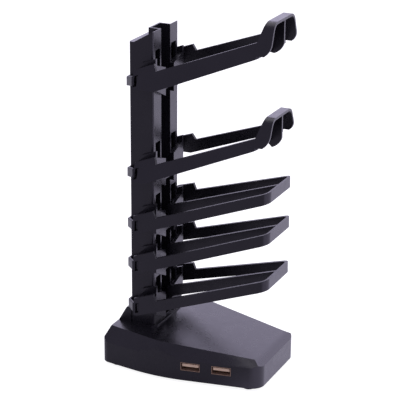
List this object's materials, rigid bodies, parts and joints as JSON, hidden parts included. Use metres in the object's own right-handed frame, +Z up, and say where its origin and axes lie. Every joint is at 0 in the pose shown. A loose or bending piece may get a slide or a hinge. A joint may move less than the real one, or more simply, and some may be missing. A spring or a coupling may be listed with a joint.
{
  "type": "controller stand",
  "caption": "Black upright stand with a tapered powered base, a channel column, hooked open racks for game controllers above and flat open racks for game cases below.",
  "frame": {"origin": "middle of the base's footprint, on the surface the stand rests on", "axes": "+Z up along the column, -Y towards the front where the racks reach, +X to the stand's right seen from behind"},
  "size_m": [0.0812, 0.1138, 0.2435],
  "materials": {
    "black_plastic": "satin black moulded plastic",
    "foot_rubber": "matt black rubber",
    "nickel_sheet": "nickel-plated sheet",
    "pale_plastic": "cream moulded plastic",
    "dark_tongue": "black moulded plastic",
    "gilt_contact": "gilt spring contacts",
    "board": "green solder mask",
    "screw_steel": "zinc-plated steel"
  },
  "bodies": {
    "root": {"back_cover_screws": "screw_steel", "base_cover": "black_plastic", "base_plate": "black_plastic", "base_screws": "screw_steel", "board_screws": "screw_steel", "circuit_board": "board", "column_back": "black_plastic", "column_foot_screws": "screw_steel", "column_front": "black_plastic", "controller_rack_lower": "black_plastic", "controller_rack_upper": "black_plastic", "controller_strap_lower": "black_plastic", "controller_strap_upper": "black_plastic", "foot_front_left": "foot_rubber", "foot_front_right": "foot_rubber", "foot_rear_left": "foot_rubber", "foot_rear_right": "foot_rubber", "game_rack_lower": "black_plastic", "game_rack_middle": "black_plastic", "game_rack_upper": "black_plastic", "game_strap_lower": "black_plastic", "game_strap_middle": "black_plastic", "game_strap_upper": "black_plastic", "inlet_shell": "nickel_sheet", "inlet_tongue": "dark_tongue", "usb_contacts_front": "gilt_contact", "usb_contacts_rear": "gilt_contact", "usb_shell_front": "nickel_sheet", "usb_shell_rear": "nickel_sheet", "usb_tongue_front": "pale_plastic", "usb_tongue_rear": "pale_plastic"}
  },
  "joints": []
}
